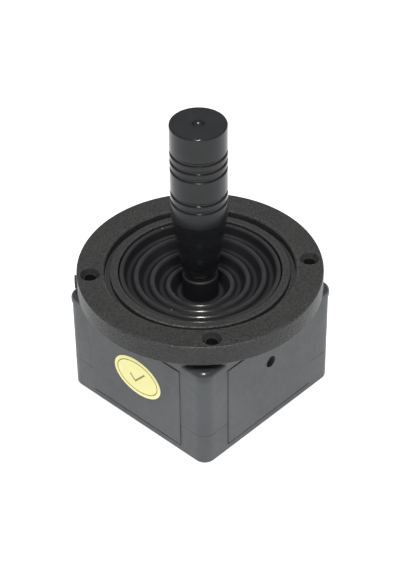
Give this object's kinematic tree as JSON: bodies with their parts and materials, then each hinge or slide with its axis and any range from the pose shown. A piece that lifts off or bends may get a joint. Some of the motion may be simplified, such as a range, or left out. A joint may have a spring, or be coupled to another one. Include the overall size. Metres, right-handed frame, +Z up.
{
  "type": "two-axis panel joystick",
  "caption": "Panel joystick with a turned stick, pleated dust boot, round flange and square case, sprung on two crossed axes.",
  "frame": {"origin": "centre of the case's underside, on the vertical axis through the crossed pivots", "axes": "+Z up along the stick at rest; +X out of the case side where the frame's pivot pin shows; +Y out of the side opposite the label"},
  "size_m": [0.065, 0.065, 0.0843],
  "materials": {
    "textured_black": "fine sand texture, black",
    "plate_black": "smooth black, satin gloss",
    "case_grey": "satin dark grey moulding",
    "handle_black": "turned and polished black",
    "boot_rubber": "glossy black rubber",
    "label_paper": "pale yellow paper sticker",
    "bright_steel": "ground steel",
    "blackened_steel": "blackened screws and pivot pins",
    "zinc": "die-cast, as cast",
    "gate_steel": "pressed steel",
    "bronze": "sintered bronze",
    "nylon": "natural nylon",
    "spring_steel": "spring wire",
    "pot_black": "moulded potentiometer case",
    "pot_shaft": "steel shaft",
    "track_board": "laminate board",
    "terminal": "tinned brass"
  },
  "bodies": {
    "case": {"flange_ring": "textured_black", "flange_screws": "blackened_steel", "top_plate": "plate_black", "housing": "case_grey", "bottom_cover": "case_grey", "case_screws": "blackened_steel", "gate_insert": "gate_steel", "boot": "boot_rubber", "boot_clamp_ring": "textured_black", "inspection_label": "label_paper", "frame_pivot_bush": "bronze", "bail_pivot_bush": "bronze", "frame_spring_sleeve": "nylon", "bail_spring_sleeve": "nylon", "frame_spring": "spring_steel", "bail_spring": "spring_steel", "frame_pot_case": "pot_black", "bail_pot_case": "pot_black", "frame_pot_track": "track_board", "bail_pot_track": "track_board", "frame_pot_terminals": "terminal", "bail_pot_terminals": "terminal", "frame_pot_screws": "blackened_steel", "bail_pot_screws": "blackened_steel"},
    "gimbal": {"swing_frame": "zinc", "cross_pin": "bright_steel", "frame_pivot_pin": "blackened_steel", "frame_pot_rotor": "pot_shaft"},
    "bail": {"slotted_bail": "zinc", "bail_pivot_pin": "blackened_steel", "bail_pot_rotor": "pot_shaft"},
    "lever": {"handle": "handle_black", "lever_shaft": "bright_steel", "tail_ball": "nylon"}
  },
  "joints": [
    {"name": "frame_tilt", "type": "hinge", "parent": "case", "child": "gimbal", "pos_m": [0, 0, 0.0207], "axis": [1, 0, 0], "range_deg": [-20, 20], "stiffness_Nm_per_rad": 0.5, "deforming": ["frame_spring", "boot"]},
    {"name": "lever_tilt", "type": "hinge", "parent": "gimbal", "child": "lever", "pos_m": [0, 0, 0.0207], "axis": [0, 1, 0], "range_deg": [-20, 20], "stiffness_Nm_per_rad": 0.5},
    {"name": "bail_tilt", "type": "hinge", "parent": "case", "child": "bail", "pos_m": [0, 0, 0.0207], "axis": [0, 1, 0], "range_deg": [-20, 20], "deforming": ["bail_spring"]}
  ],
  "couplings": [
    {"joint": "bail_tilt", "follows": "lever_tilt", "ratio": 1}
  ]
}
